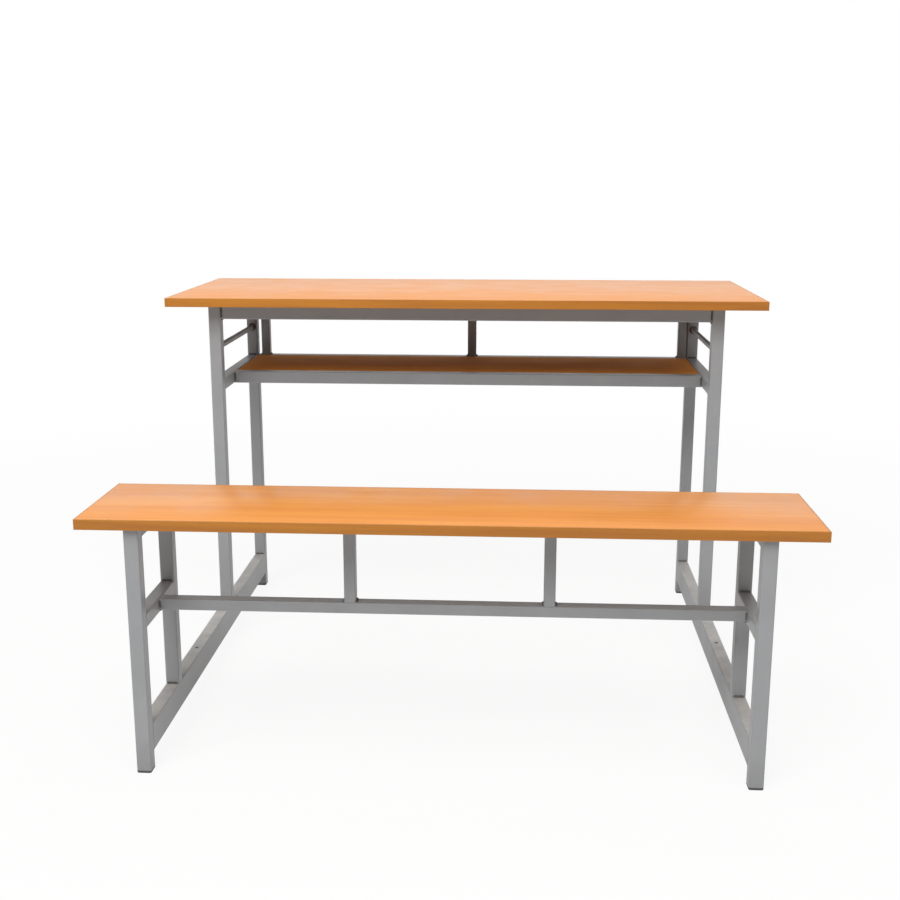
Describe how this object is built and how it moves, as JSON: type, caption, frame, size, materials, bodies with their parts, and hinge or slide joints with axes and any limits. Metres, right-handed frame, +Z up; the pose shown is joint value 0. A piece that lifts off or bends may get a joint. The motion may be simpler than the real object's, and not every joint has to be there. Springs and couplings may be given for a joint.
{
  "type": "student desk with bench",
  "caption": "School desk and bench on one welded square-tube frame, with a laminated writing top, a laminated seat plank and an open book shelf under the top.",
  "frame": {"origin": "on the floor, under the middle of the overall box of bench and desk", "axes": "+X along the boards to the right as the sitter faces the desk, +Y from the bench to the desk, +Z up"},
  "size_m": [1.22, 1.075, 0.755],
  "materials": {
    "beech_laminate": "satin orange-beech laminate, matt on the shelf",
    "edge_band": "satin darker orange edge band",
    "grey_paint": "satin mid-grey paint",
    "glide_plastic": "matte dark grey moulded plastic",
    "screw_zinc": "zinc-plated"
  },
  "bodies": {
    "root": {"seat_board": "beech_laminate", "seat_band_front": "edge_band", "seat_band_back": "edge_band", "seat_band_left": "edge_band", "seat_band_right": "edge_band", "desk_board": "beech_laminate", "desk_band_front": "edge_band", "desk_band_back": "edge_band", "desk_band_left": "edge_band", "desk_band_right": "edge_band", "shelf_board": "beech_laminate", "bench_front_leg_left": "grey_paint", "bench_front_leg_right": "grey_paint", "bench_back_leg_left": "grey_paint", "bench_back_leg_right": "grey_paint", "desk_front_leg_left": "grey_paint", "desk_front_leg_right": "grey_paint", "desk_back_leg_left": "grey_paint", "desk_back_leg_right": "grey_paint", "bench_cross_rail_left": "grey_paint", "bench_cross_rail_right": "grey_paint", "bench_top_rail_left": "grey_paint", "bench_top_rail_right": "grey_paint", "desk_cross_rail_left": "grey_paint", "desk_cross_rail_right": "grey_paint", "desk_top_rail_left": "grey_paint", "desk_top_rail_right": "grey_paint", "base_rail_left": "grey_paint", "base_rail_right": "grey_paint", "guard_bar_left": "grey_paint", "guard_bar_right": "grey_paint", "bench_stretcher": "grey_paint", "bench_strut_left": "grey_paint", "bench_strut_right": "grey_paint", "desk_front_rail": "grey_paint", "desk_back_rail": "grey_paint", "shelf_front_rail": "grey_paint", "shelf_back_rail": "grey_paint", "shelf_post_left": "grey_paint", "shelf_post_middle": "grey_paint", "shelf_post_right": "grey_paint", "foot_glides": "glide_plastic", "fixing_tabs": "grey_paint", "board_screws": "screw_zinc"}
  },
  "joints": []
}
